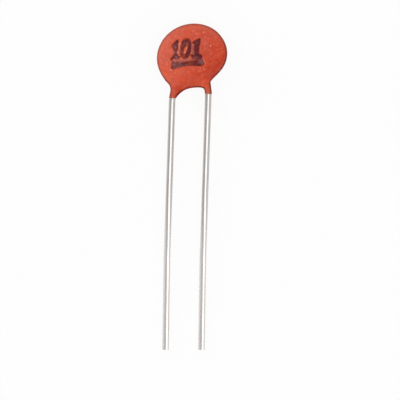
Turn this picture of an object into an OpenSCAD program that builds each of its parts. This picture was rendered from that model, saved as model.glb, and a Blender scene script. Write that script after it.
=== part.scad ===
// Small dipped ceramic disc capacitor with two straight radial leads.
// Lengths are in millimetres and angles in degrees.
//
// The model is drawn flat: the disc's centre is at the origin, the leads run
// towards -Y and the marked face looks along +Z. It is then tipped by about
// two degrees, so that it lies on the belly of its coating and on the tips of
// its leads, with the floor at z = 0.

/* [Leads] */
// Diameter of the lead wire
lead_d = 0.46; // [0.4:0.01:0.5]
// Distance between the two leads below their necks
lead_pitch = 2.54; // [2.4:0.01:2.8]
// Distance from the disc's centre down to the cut tip of the left lead
lead_reach = 20.8; // [17:0.1:30]
// How much shorter the right lead is cut
right_trim = 0.08; // [0:0.01:0.3]
// Distance from the disc's centre up to the soldered end of each lead
lead_rise = 0.3; // [0:0.05:0.6]
// Angle by which each lead leans inwards inside the coating
lead_lean = 9; // [6:0.5:11]
// Distance from the disc's centre down to where each lead turns to the middle plane
dip_drop = 1.5; // [1.45:0.01:1.65]
// Angle of that turn
dip_angle = 14; // [8:0.5:16]
// Bare wire from the end of the left neck down to where that lead stops leaning
left_bend_gap = 0.18; // [0:0.01:0.3]
// Bare wire from the end of the right neck down to where that lead stops leaning
right_bend_gap = 0; // [0:0.01:0.3]
// Distance from the disc's centre down to the slight sideways set of the leads
set_drop = 14.15; // [6:0.05:15]
// Angle of that sideways set
set_angle = 0.95; // [0.5:0.05:3]

/* [Disc and electrodes] */
// Diameter of the ceramic disc
disc_d = 3.6; // [3.3:0.05:3.7]
// Thickness of the ceramic disc
disc_t = 0.4; // [0.3:0.01:0.5]
// Bare rim of ceramic round each fired silver electrode
electrode_margin = 0.2; // [0.1:0.01:0.3]
// Thickness of each electrode
electrode_t = 0.02; // [0.01:0.005:0.04]

/* [Solder] */
// Solder between an electrode and its lead
solder_bed = 0.02; // [0.01:0.005:0.04]
// Solder over the outer side of the lead
solder_cover = 0.05; // [0.03:0.01:0.08]
// Width of each solder bead on its electrode
solder_w = 0.76; // [0.7:0.01:0.9]
// Bare electrode left between a bead and the electrode's rim
solder_margin = 0.05; // [0.03:0.01:0.1]

/* [Coating] */
// Longest diameter of the coating's oval face
coat_long = 5.02; // [4.9:0.01:5.3]
// Shortest diameter of the coating's oval face
coat_short = 4.54; // [4.4:0.01:4.8]
// Direction of the longest diameter, from +X
coat_turn = 22.5; // [15:0.5:35]
// Thickness of the coating at its middle
coat_t = 2; // [1.9:0.05:2.4]
// Radius of the coating's rolled edge, away from the necks
edge_r = 0.8; // [0.7:0.01:0.95]
// Sideways offset of the disc and the oval from the middle of the two leads
disc_offset = 0.03; // [-0.06:0.01:0.06]

/* [Necks] */
// Coating left on the wire at the end of each neck
neck_film = 0.03; // [0.02:0.005:0.06]
// Distance from the disc's centre down to the end of the left neck
left_neck_drop = 2.98; // [2.9:0.01:3.2]
// Distance from the disc's centre down to the end of the right neck
right_neck_drop = 2.6; // [2.5:0.01:2.9]
// Distance from the disc's centre down to the corner of the left shoulder
left_shoulder_drop = 2.18; // [2:0.01:2.3]
// Distance from the disc's centre down to the corner of the right shoulder
right_shoulder_drop = 1.78; // [1.65:0.01:1.9]
// Rounding of the left shoulder, along each side of its corner
left_shoulder_round = 0.36; // [0.2:0.01:0.4]
// Rounding of the right shoulder, along each side of its corner
right_shoulder_round = 0.07; // [0.05:0.01:0.25]
// Distance from the disc's centre down to the crown of the arch between the necks
arch_drop = 2.2; // [2.1:0.01:2.25]
// Sideways place of the arch's crown
arch_x = 0.63; // [0.3:0.01:0.7]

/* [Hidden] */
$fn = 48;

// The left lead is soldered to the front of the disc and the right lead to its back
LEFT = -1;
RIGHT = 1;

lead_r = lead_d / 2;
neck_r = lead_r + neck_film;
centre = [disc_offset, 0];
electrode_r = disc_d / 2 - electrode_margin;
electrode_face = disc_t / 2 + electrode_t;
// Height of a soldered lead's axis over the disc's middle plane
lead_lift = electrode_face + solder_bed + lead_r;

// Bend radii of the wire where it turns to the middle plane, at the neck and at its set
dip_bend_r = 2;
neck_bend_r = 1;
set_bend_r = 20;
// A bend is this much thinner than the runs that it joins, and ends this deep in them
bend_relief = 0.001;
bend_seat = 0.01;

// Angle from +Y at which each flank leaves its shoulder
left_flank_angle = 48.5;
right_flank_angle = 31.3;
// Direction from the disc's centre to where each flank joins the oval
left_join_angle = 182;
right_join_angle = 5;
// Pull of each flank's curve at its shoulder and at the oval
left_flank_pull = [0.38, 0.87];
right_flank_pull = [0.36, 1.01];
// Angle from +Y at which the web between the necks leaves each wire
left_web_angle = 35;
right_web_angle = 2;
// Pull of the arch's curve at its crown and at each wire
left_web_pull = [1.03, 0.46];
right_web_pull = [0.34, 0.25];
// Height above each neck's end over which the coating fills out to its full form
left_fill = 2.8;
right_fill = 2.6;

// Facets of the coating: up a neck, round a shoulder, up a flank, over the top, and up a rib
neck_steps = 6;
shoulder_steps = 6;
flank_steps = 14;
crown_steps = 44;
rib_steps = 8;
curve_steps = 40;
// Two points closer than this are one
same_point = 0.000001;

function pick(side, left, right) = side == LEFT ? left : right;

// --- Curves -------------------------------------------------------------------

function heading(angle) = [sin(angle), cos(angle)];
function mix(a, b, t) = a + (b - a) * t;
// Rise from 0 to 1, level and without curvature at both ends
function smooth(t) = let (u = max(0, min(1, t))) u * u * u * (u * (6 * u - 15) + 10);
function quadratic(a, b, c, t) = mix(mix(a, b, t), mix(b, c, t), t);
function cubic(a, b, c, d, t) = mix(quadratic(a, b, c, t), quadratic(b, c, d, t), t);

// Length walked along a chain of points, at each of them
function milestones(chain) = [
    for (i = 0, s = 0; i < len(chain); s = s + norm(chain[min(i + 1, len(chain) - 1)] - chain[i]), i = i + 1) s
];
function shares(chain) = let (marks = milestones(chain)) marks / marks[len(marks) - 1];
// Point at a share of a chain's length
function walk(chain, marks, share) =
    let (
        s = share * marks[len(marks) - 1],
        i = max([for (k = [0 : len(chain) - 2]) if (k == 0 || marks[k] <= s) k])
    )
    mix(chain[i], chain[i + 1], (s - marks[i]) / (marks[i + 1] - marks[i]));

// --- Leads --------------------------------------------------------------------

function neck_y(side) = -pick(side, left_neck_drop, right_neck_drop);
function tip_y(side) = pick(side, 0, right_trim) - lead_reach;
// Point below the neck where a lead stops leaning and runs straight down
function straight_from(side) =
    [side * lead_pitch / 2, neck_y(side) - pick(side, left_bend_gap, right_bend_gap)];
// Upward direction of a lead inside the coating, seen from the front
function lead_way(side) = heading(-side * lead_lean);
// Sideways place of a lead's axis at a height above that point
function lead_x(side, y) =
    straight_from(side).x - side * (y - straight_from(side).y) * tan(lead_lean);
function neck_end(side) = [lead_x(side, neck_y(side)), neck_y(side)];
// Wire that a bend takes from the run on each side of its corner
function taken(angle, radius) = radius * tan(angle / 2);
// Distance of a lead's axis from the middle plane at a height inside the coating
function lead_height(y) =
    let (
        half = taken(dip_angle, dip_bend_r),
        below = half - dip_drop - y,
        slope = tan(dip_angle) / cos(lead_lean)
    )
    lead_lift - slope * (below <= 0 ? 0 : below < 2 * half ? below * below / (4 * half) : below - half);

// Corners of a lead's path: soldered end, turn to the middle plane, bend, set and tip
function lead_corners(side) =
    let (
        bend = straight_from(side),
        out = lead_height(bend.y),
        tip = tip_y(side),
        run = -set_drop - tip
    )
    [
        [lead_x(side, lead_rise), lead_rise, -side * lead_lift],
        [lead_x(side, -dip_drop), -dip_drop, -side * lead_lift],
        [bend.x, bend.y, -side * out],
        [bend.x, -set_drop, -side * out * run / (bend.y - tip)],
        [bend.x + run * tan(set_angle), tip, 0]
    ];
lead_bends = [0, dip_bend_r, neck_bend_r, set_bend_r, 0];

// Places something drawn along +Z so that it runs from one point towards another
module along(from, to) {
    way = (to - from) / norm(to - from);
    translate(from) rotate([0, acos(way.z), atan2(way.y, way.x)]) rotate(90) children();
}

// Round wire through a list of corners, each rounded to its own bend radius
module bent_wire(corners, bends, r) {
    last = len(corners) - 1;
    ways = [for (i = [0 : last - 1]) (corners[i + 1] - corners[i]) / norm(corners[i + 1] - corners[i])];
    turns = [0, for (i = [1 : last - 1]) acos(ways[i - 1] * ways[i]), 0];
    cuts = [for (i = [0 : last]) taken(turns[i], bends[i])];
    for (i = [0 : last - 1]) {
        start = corners[i] + ways[i] * (cuts[i] - (i > 0 ? bend_seat : 0));
        stop = corners[i + 1] - ways[i] * (cuts[i + 1] - (i < last - 1 ? bend_seat : 0));
        along(start, stop) cylinder(h = norm(stop - start), r = r);
    }
    for (i = [1 : last - 1]) {
        inward = ways[i] - ways[i - 1] * (ways[i] * ways[i - 1]);
        out = -inward / norm(inward);
        hub = corners[i] - ways[i - 1] * cuts[i] - out * bends[i];
        side = cross(out, ways[i - 1]);
        multmatrix([for (k = [0 : 2]) [out[k], ways[i - 1][k], side[k], hub[k]]])
            rotate_extrude(angle = turns[i])
                translate([bends[i], 0]) circle(r = r - bend_relief);
    }
}

module wire(side) {
    bent_wire(lead_corners(side), lead_bends, lead_r);
}

// --- Disc, electrodes and solder ------------------------------------------------

module disc_blank() {
    translate([centre.x, centre.y, -disc_t / 2]) cylinder(h = disc_t, d = disc_d);
}

module electrode_blank(side) {
    translate([centre.x, centre.y, pick(side, disc_t / 2, -electrode_face)])
        cylinder(h = electrode_t, r = electrode_r);
}

// A bead is a round-ended bar, sunk into the electrode until it is solder_w wide there
bead_top = solder_bed + lead_d + solder_cover;
bead_r = (bead_top * bead_top + solder_w * solder_w / 4) / (2 * bead_top);
bead_axis = electrode_face + bead_top - bead_r;

// Height at which a bead's lower end is centred, so that it stays inside the electrode's rim
function bead_low(side) =
    let (
        top = [lead_x(side, lead_rise), lead_rise] - centre,
        slope = top * lead_way(side),
        reach = electrode_r - solder_w / 2 - solder_margin
    )
    lead_rise - (slope + sqrt(slope * slope - top * top + reach * reach)) * cos(lead_lean);

module bead(side) {
    high = lead_rise - solder_w / 4;
    low = bead_low(side);
    length = (high - low) / cos(lead_lean);
    along([lead_x(side, low), low, -side * bead_axis], [lead_x(side, high), high, -side * bead_axis])
        rotate_extrude() {
            square([bead_r, length]);
            for (y = [0, length])
                intersection() {
                    translate([0, y]) circle(r = bead_r);
                    translate([0, y - bead_r]) square([bead_r, 2 * bead_r]);
                }
        }
}

module solder_blank(side) {
    difference() {
        intersection() {
            bead(side);
            translate([-disc_d / 2, -disc_d / 2, pick(side, electrode_face, -electrode_face - disc_d)])
                cube(disc_d);
        }
        wire(side);
    }
}

// --- Outline of the coating, seen from the front ---------------------------------

// Point of a neck's side line at a height, on the outer (1) or the inner (-1) side
function neck_side(side, y, outer) = [lead_x(side, y) + outer * side * neck_r / cos(lead_lean), y];

function turned(v) = [
    v.x * cos(coat_turn) - v.y * sin(coat_turn),
    v.x * sin(coat_turn) + v.y * cos(coat_turn)
];
function oval_phase(angle) =
    atan2(sin(angle - coat_turn) / coat_short, cos(angle - coat_turn) / coat_long);
// Point of the oval in a direction from its centre, and the tangent there
function oval(angle) =
    let (p = oval_phase(angle)) centre + turned([coat_long * cos(p), coat_short * sin(p)]) / 2;
function oval_tangent(angle) =
    let (p = oval_phase(angle), v = turned([-coat_long * sin(p), coat_short * cos(p)])) v / norm(v);

// Outer edge of one side, from the neck's end up to where the flank joins the oval
function outer_edge(side) =
    let (
        foot = neck_side(side, neck_end(side).y, 1),
        corner = neck_side(side, -pick(side, left_shoulder_drop, right_shoulder_drop), 1),
        round = pick(side, left_shoulder_round, right_shoulder_round),
        pull = pick(side, left_flank_pull, right_flank_pull),
        way = heading(side * pick(side, left_flank_angle, right_flank_angle)),
        join_angle = pick(side, left_join_angle, right_join_angle),
        join = oval(join_angle),
        landing = join - side * pull[1] * oval_tangent(join_angle),
        below = corner - round * lead_way(side),
        above = corner + round * way
    )
    [
        for (i = [0 : neck_steps - 1]) mix(foot, below, i / neck_steps),
        for (i = [0 : shoulder_steps - 1]) quadratic(below, corner, above, i / shoulder_steps),
        for (i = [0 : flank_steps]) cubic(above, above + pull[0] * way, landing, join, i / flank_steps)
    ];

// Inner edge of one side, from the neck's end up to the crown of the arch
function inner_edge(side) =
    let (
        foot = neck_side(side, neck_end(side).y, -1),
        crown = [arch_x, -arch_drop],
        pull = pick(side, left_web_pull, right_web_pull),
        leave = foot + pull[1] * heading(-side * pick(side, left_web_angle, right_web_angle)),
        arrive = crown + [side * pull[0], 0]
    )
    [for (i = [0 : curve_steps]) cubic(foot, leave, arrive, crown, i / curve_steps)];

// Middle line of one side, from the neck's end to the disc's centre
function spine(side) =
    let (foot = neck_end(side))
    [for (i = [0 : curve_steps]) quadratic(foot, foot + 1.2 * lead_way(side), centre, i / curve_steps)];

// A rib joins a point of the edge to a point of a spine. These are one side's ribs for
// its outer (1) or its inner (-1) edge, from the neck's end upwards.
function side_ribs(side, outer) =
    let (
        edge = outer == 1 ? outer_edge(side) : inner_edge(side),
        edge_marks = milestones(edge),
        line = spine(side),
        line_marks = milestones(line)
    )
    [
        for (t = shares(outer_edge(side)))
            [walk(edge, edge_marks, t), walk(line, line_marks, t + t * t * (1 - t))]
    ];

function reversed(list) = [for (i = [len(list) - 1 : -1 : 0]) list[i]];
// The left side's ribs from the crown down, without the one that both sides share there
function below_crown(list) = [for (i = [len(list) - 2 : -1 : 0]) list[i]];

// All ribs clockwise round the outline: up the left side, over the top and down the
// right side, and then back through the arch
over_ribs = concat(
    side_ribs(LEFT, 1),
    [for (i = [1 : crown_steps - 1]) [oval(mix(left_join_angle, right_join_angle, i / crown_steps)), centre]],
    reversed(side_ribs(RIGHT, 1))
);
arch_ribs = concat(side_ribs(RIGHT, -1), below_crown(side_ribs(LEFT, -1)));
ribs = concat(over_ribs, arch_ribs);

// --- Thickness of the coating ------------------------------------------------------

// The outline with its necks carried on downwards, so that they don't thin out at their ends
neck_on = [0, -1.5];
rim = [
    for (rib = over_ribs) rib[0],
    over_ribs[len(over_ribs) - 1][0] + neck_on,
    arch_ribs[0][0] + neck_on,
    for (rib = arch_ribs) rib[0],
    arch_ribs[len(arch_ribs) - 1][0] + neck_on,
    over_ribs[0][0] + neck_on
];

// Distance from a point to the rim, as a harmonic mean over all directions. It equals the
// plain distance close to the rim, and levels off smoothly towards the middle.
function inset(p) =
    let (
        to = [for (q = rim) q - p],
        far = [for (v = to) norm(v)],
        parts = [
            for (i = [0 : len(rim) - 1])
            let (k = (i + 1) % len(rim))
            (to[i].x * to[k].y - to[i].y * to[k].x)
                / (far[i] * far[k] + to[i] * to[k]) * (1 / far[i] + 1 / far[k])
        ]
    )
    2 / abs(parts * [for (part = parts) 1]);
middle_inset = inset(centre);

// How far across a point lies from the left lead to the right one, and how far the
// coating has filled out there
function across(p) = smooth(p.x / lead_pitch + 0.5);
function filled(side, p) = smooth((p.y - neck_end(side).y) / pick(side, left_fill, right_fill));

// Height of the coating's own middle plane, which follows each lead down its neck
function middle_height(p) = lead_height(p.y) * mix(1 - filled(LEFT, p), filled(RIGHT, p) - 1, across(p));

// Half thickness of the coating, from the radius of its edge and its full thickness
function half_thickness(p) =
    let (
        fill = mix(filled(LEFT, p), filled(RIGHT, p), across(p)),
        roll = mix(neck_r, edge_r, fill),
        swell = (coat_t * coat_t / 4 - 2 * edge_r * middle_inset) / (middle_inset * middle_inset),
        d = inset(p)
    )
    sqrt(2 * roll * d + fill * swell * d * d);

// Points up a rib on the front face, and then on the back face
function rib_points(rib) =
    let (
        plan = [for (i = [0 : rib_steps]) mix(rib[1], rib[0], cos(90 * i / rib_steps))],
        half = [for (i = [0 : rib_steps]) i == 0 ? 0 : half_thickness(plan[i])]
    )
    [
        for (face = [1, -1], i = [0 : rib_steps])
            [plan[i].x, plan[i].y, middle_height(plan[i]) + face * half[i]]
    ];
rib_size = 2 * (rib_steps + 1);

// Faces between two neighbouring ribs on the front (0) or the back (1). Where both ribs
// end in the same point, the last step is a single triangle.
function panel(a, b, back, meet) = [
    for (i = [0 : rib_steps - 1])
    let (
        p = a * rib_size + back * (rib_steps + 1) + i,
        q = b * rib_size + back * (rib_steps + 1) + i
    )
    each concat(
        [back == 0 ? [p, q, p + 1] : [p, p + 1, q]],
        meet && i == rib_steps - 1 ? [] : [back == 0 ? [q, q + 1, p + 1] : [q, p + 1, q + 1]]
    )
];
function panels(first, last) = [
    for (i = [first : last - 1], back = [0, 1])
    each panel(i, i + 1, back, norm(ribs[i + 1][1] - ribs[i][1]) < same_point)
];
// Flat end of a neck, between its last rib and its first
function neck_cap(a, b) = [
    for (i = [0 : rib_steps]) b * rib_size + i,
    for (i = [rib_steps - 1 : -1 : 0]) a * rib_size + i,
    for (i = [1 : rib_steps]) a * rib_size + rib_steps + 1 + i,
    for (i = [rib_steps - 1 : -1 : 1]) b * rib_size + rib_steps + 1 + i
];

module coat_blank() {
    turn = len(over_ribs);
    last = len(ribs) - 1;
    polyhedron(
        points = [for (rib = ribs) each rib_points(rib)],
        faces = concat(panels(0, turn - 1), panels(turn, last), [neck_cap(turn - 1, turn), neck_cap(last, 0)]),
        convexity = 4
    );
}

// --- Resting position ---------------------------------------------------------------

// Underside of the coating down its middle, where it can touch the floor
keel = [
    for (y = [-0.8 : 0.1 : 0.2])
    let (p = centre + [0, y]) [y, middle_height(p) - half_thickness(p)]
];
function belly(tilt) = min([for (k = keel) k[0] * sin(tilt) + k[1] * cos(tilt)]);
// Tilt at which the belly and the tip of the longer lead touch the floor together
function settle(tilt, rounds) =
    rounds == 0 ? tilt : settle(asin((-belly(tilt) - lead_r * cos(tilt)) / lead_reach), rounds - 1);
rest_tilt = settle(2, 4);

edge_x = [for (rib = ribs) rib[0].x];
edge_y = [for (rib = ribs) rib[0].y];
tip_low = -lead_reach * cos(rest_tilt) - lead_r * sin(rest_tilt);
rest_shift = [
    -(min(edge_x) + max(edge_x)) / 2,
    -(max(edge_y) * cos(rest_tilt) + tip_low) / 2,
    -belly(rest_tilt)
];

module at_rest() {
    translate(rest_shift) rotate([rest_tilt, 0, 0]) children();
}

// --- Pieces ---------------------------------------------------------------------------

module coating() {
    color([0.8, 0.33, 0.24]) at_rest() difference() {
        coat_blank();
        disc_blank();
        for (side = [LEFT, RIGHT]) {
            electrode_blank(side);
            solder_blank(side);
            wire(side);
        }
    }
}

module ceramic_disc() {
    color([0.86, 0.82, 0.72]) at_rest() disc_blank();
}

module electrode_front() {
    color([0.8, 0.8, 0.78]) at_rest() electrode_blank(LEFT);
}

module electrode_back() {
    color([0.8, 0.8, 0.78]) at_rest() electrode_blank(RIGHT);
}

module solder_front() {
    color([0.62, 0.63, 0.65]) at_rest() solder_blank(LEFT);
}

module solder_back() {
    color([0.62, 0.63, 0.65]) at_rest() solder_blank(RIGHT);
}

module lead_left() {
    color([0.75, 0.75, 0.76]) at_rest() wire(LEFT);
}

module lead_right() {
    color([0.75, 0.75, 0.76]) at_rest() wire(RIGHT);
}

coating();
ceramic_disc();
electrode_front();
electrode_back();
solder_front();
solder_back();
lead_left();
lead_right();
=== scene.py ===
"""Looks of a small dipped ceramic disc capacitor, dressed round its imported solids.

Lengths in the forms, pieces and finishes are millimetres in the flat drawing of the part: the
disc's centre is at the origin, the leads run towards -Y and the marked face looks along +Z.
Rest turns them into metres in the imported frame, where the part lies on its back. The floor, the
lights and the camera are in metres.
"""

import logging
import math
from dataclasses import dataclass
from enum import Enum

import bmesh
import bpy
import numpy as np
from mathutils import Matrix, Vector, noise


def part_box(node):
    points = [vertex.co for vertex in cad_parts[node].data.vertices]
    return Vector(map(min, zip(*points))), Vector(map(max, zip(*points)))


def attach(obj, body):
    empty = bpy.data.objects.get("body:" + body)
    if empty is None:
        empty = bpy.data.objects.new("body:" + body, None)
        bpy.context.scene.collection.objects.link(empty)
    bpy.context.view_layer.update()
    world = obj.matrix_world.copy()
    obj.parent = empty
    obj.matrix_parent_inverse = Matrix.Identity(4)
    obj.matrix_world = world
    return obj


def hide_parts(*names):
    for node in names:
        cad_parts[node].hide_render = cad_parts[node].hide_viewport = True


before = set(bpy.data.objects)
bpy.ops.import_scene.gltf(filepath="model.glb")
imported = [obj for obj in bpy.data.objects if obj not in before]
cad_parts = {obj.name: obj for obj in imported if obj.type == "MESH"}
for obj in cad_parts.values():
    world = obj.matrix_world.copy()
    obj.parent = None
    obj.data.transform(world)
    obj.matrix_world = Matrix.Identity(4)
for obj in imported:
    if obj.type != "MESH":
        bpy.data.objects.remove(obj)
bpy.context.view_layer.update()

MM = 0.001
TINY = 1e-9
NOISE_SPAN = (0.3, 0.7)
LOG = logging.getLogger("capacitor")

Array = np.ndarray
Values = float | np.ndarray
Pair = tuple[float, float]
Spots = tuple[tuple[float, float, float], ...]
Pattern = tuple[float, ...]
Tone = tuple[float, float, float, float]
Piece = bpy.types.Object
Finish = bpy.types.Material
Socket = bpy.types.NodeSocket
Items = bpy.types.bpy_prop_collection


# --- Curves ---


def mix(a: Values, b: Values, t: Values) -> Values:
    """The value a share t of the way from a to b."""
    return a + (b - a) * t


def smooth(t: Array) -> Array:
    """Rise from 0 to 1, level and without curvature at both ends."""
    u = np.clip(t, 0, 1)
    return u * u * u * (u * (6 * u - 15) + 10)


def heading(angle: float) -> Array:
    """Unit direction in the flat drawing, in degrees from +Y towards +X."""
    return np.array([math.sin(math.radians(angle)), math.cos(math.radians(angle))])


def unit(way: Array) -> Array:
    """The direction of a vector."""
    return way / np.linalg.norm(way)


def bezier(corners: list[Array], steps: int, whole: bool = False) -> Array:
    """Points of a Bezier curve.

    Args:
        corners: Its control points.
        steps: How many equal steps to take along it.
        whole: Whether the last point is kept too.

    Returns:
        One row for each point.
    """
    t = np.linspace(0, 1, steps + 1)[: steps + whole, None]
    rows = [np.asarray(c, float) for c in corners]
    while len(rows) > 1:
        rows = [mix(a, b, t) for a, b in zip(rows, rows[1:])]
    return np.broadcast_to(rows[0], (len(t), len(corners[0])))


def shares(chain: Array) -> Array:
    """Share of a chain's whole length that lies before each of its points."""
    marks = np.concatenate([[0], np.cumsum(np.linalg.norm(np.diff(chain, axis=0), axis=1))])
    return marks / marks[-1]


def walk(chain: Array, at: Array) -> Array:
    """Points at given shares of a chain's length."""
    marks = shares(chain)
    return np.column_stack([np.interp(at, marks, column) for column in chain.T])


def rounded(corners: list[Array], radii: list[float], steps: int) -> Array:
    """A path through corners, with each corner turned into an arc.

    Args:
        corners: Points of the path, first and last included.
        radii: Bend radius at each corner; those at the two ends aren't used.
        steps: How many steps to take round each arc.

    Returns:
        One row for each point of the rounded path.
    """
    path = [corners[0]]
    for before, corner, after, radius in zip(corners, corners[1:], corners[2:], radii[1:]):
        come, leave = unit(corner - before), unit(after - corner)
        half = math.acos(min(1.0, float(come @ leave))) / 2
        start = corner - come * radius * math.tan(half)
        stop = corner + leave * radius * math.tan(half)
        hub = corner + unit(leave - come) * radius / math.cos(half)
        chords = (mix(start, stop, share) - hub for share in np.linspace(0, 1, steps + 1))
        path += [hub + unit(chord) * radius for chord in chords]
    return np.array([*path, corners[-1]])


def near(p: Array, spots: Spots) -> Array:
    """How close points are to any of some spots, each a place and a reach: 1 there, 0 far away."""
    reaches = [np.exp(-((p - spot[:2]) ** 2).sum(1) / spot[2] ** 2) for spot in np.array(spots)]
    return np.max(reaches, axis=0)


@dataclass(frozen=True)
class Wave:
    """Smooth unevenness: its height, the width of its lumps and its seed."""

    height: float
    width: float
    seed: float

    def at(self, points: Array) -> Array:
        """How high it is at points, up or down."""
        spots = (Vector((*(p / self.width), 0)[:3]) for p in points)
        return self.height * np.array([noise.noise(spot + Vector((self.seed,) * 3)) for spot in spots])


# --- Forms ---


class Side(Enum):
    """A lead, by the side that it leaves the coating on."""

    LEFT = -1
    RIGHT = 1


class Line(Enum):
    """A side line of a neck: the one towards the other neck, or the one away from it."""

    INNER = -1
    OUTER = 1


@dataclass(frozen=True)
class Neck:
    """Sizes of one neck of the coating and of the flank and web beside it."""

    end_drop: float
    bend_gap: float
    shoulder_drop: float
    shoulder_round: float
    flank_angle: float
    join_angle: float
    flank_pull: Pair
    web_angle: float
    web_pull: Pair
    fill: float


NECKS = {
    Side.LEFT: Neck(
        end_drop=2.98, bend_gap=0.18, shoulder_drop=2.18, shoulder_round=0.36, flank_angle=48.5,
        join_angle=182, flank_pull=(0.38, 0.87), web_angle=35, web_pull=(1.03, 0.46), fill=2.8,
    ),
    Side.RIGHT: Neck(
        end_drop=2.6, bend_gap=0.0, shoulder_drop=1.78, shoulder_round=0.07, flank_angle=31.3,
        join_angle=5, flank_pull=(0.36, 1.01), web_angle=2, web_pull=(0.34, 0.25), fill=2.6,
    ),
}


class Rest:
    """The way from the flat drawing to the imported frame."""

    def __init__(self, disc: Piece, offset: float) -> None:
        """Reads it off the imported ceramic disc.

        Args:
            disc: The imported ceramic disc.
            offset: Sideways place of its centre in the flat drawing.
        """
        top = max(disc.data.polygons, key=lambda face: face.area * (face.normal.z > 0))
        tilt = math.atan2(-top.normal.y, top.normal.z)
        c, s = math.cos(tilt), math.sin(tilt)
        low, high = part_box(disc.name)
        self.turn = np.array([[1, 0, 0], [0, c, -s], [0, s, c]])
        self.shift = np.array((low + high) / 2) / MM - self.turn @ [offset, 0, 0]

    def place(self, points: Array) -> Array:
        """Points of the flat drawing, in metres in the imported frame."""
        return (points @ self.turn.T + self.shift) * MM

    def unplace(self, points: Array) -> Array:
        """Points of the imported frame, in mm in the flat drawing."""
        return (points / MM - self.shift) @ self.turn


@dataclass(frozen=True)
class LeadForm:
    """The wire of both leads, the bends in it and its centre lines."""

    wire_r: float = 0.23
    pitch: float = 2.54
    reach: float = 20.8
    right_trim: float = 0.08
    rise: float = 0.3
    lean: float = 9.0
    lift: float = 0.47
    dip_drop: float = 1.5
    dip_angle: float = 14.0
    set_drop: float = 14.15
    set_angle: float = 0.95
    dip_bend_r: float = 2.0
    neck_bend_r: float = 1.0
    set_bend_r: float = 20.0
    arc_steps: int = 12
    run_step: float = 0.5

    def straight_from(self, side: Side) -> Array:
        """Point below the neck where a lead stops leaning and runs straight down."""
        return np.array([side.value * self.pitch / 2, -NECKS[side].end_drop - NECKS[side].bend_gap])

    def sideways(self, side: Side, y: float) -> float:
        """Sideways place of a lead's axis at a height where it leans."""
        bend = self.straight_from(side)
        return bend[0] - side.value * (y - bend[1]) * math.tan(math.radians(self.lean))

    def neck_end(self, side: Side) -> Array:
        """Point of the flat drawing where a lead leaves its neck."""
        y = -NECKS[side].end_drop
        return np.array([self.sideways(side, y), y])

    def height(self, y: Values) -> Array:
        """Distance of a lead's axis from the middle plane inside the coating.

        Args:
            y: Heights in the flat drawing.

        Returns:
            The distance at each of them.
        """
        half = self.dip_bend_r * math.tan(math.radians(self.dip_angle / 2))
        slope = math.tan(math.radians(self.dip_angle)) / math.cos(math.radians(self.lean))
        below = np.maximum(half - self.dip_drop - np.asarray(y, float), 0)
        return self.lift - slope * np.where(below < 2 * half, below**2 / (4 * half), below - half)

    def path(self, side: Side) -> Array:
        """Points along a lead.

        Args:
            side: Which lead.

        Returns:
            One row for each point, from its soldered end to its cut tip.
        """
        bend, away = self.straight_from(side), -side.value
        tip = (self.right_trim if side is Side.RIGHT else 0) - self.reach
        out, run = away * float(self.height(bend[1])), -self.set_drop - tip
        corners = [
            [self.sideways(side, self.rise), self.rise, away * self.lift],
            [self.sideways(side, -self.dip_drop), -self.dip_drop, away * self.lift],
            [bend[0], bend[1], out],
            [bend[0], -self.set_drop, out * run / (bend[1] - tip)],
            [bend[0] + run * math.tan(math.radians(self.set_angle)), tip, 0],
        ]
        bends = [0, self.dip_bend_r, self.neck_bend_r, self.set_bend_r, 0]
        path = rounded([np.array(c) for c in corners], bends, self.arc_steps)
        runs = np.linalg.norm(np.diff(path, axis=0), axis=1)
        rows = [
            mix(a, b, k / count)
            for a, b, count in zip(path, path[1:], np.ceil(runs / self.run_step).astype(int))
            for k in range(count)
        ]
        return np.array([*rows, path[-1]])

    def at(self, side: Side, y: Array) -> Array:
        """Points of a lead's axis.

        Args:
            side: Which lead.
            y: Heights in the flat drawing.

        Returns:
            One row for each of them.
        """
        path = self.path(side)[::-1]
        x, z = (np.interp(y, path[:, 1], path[:, k]) for k in (0, 2))
        return np.column_stack([x, y, z])


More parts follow.
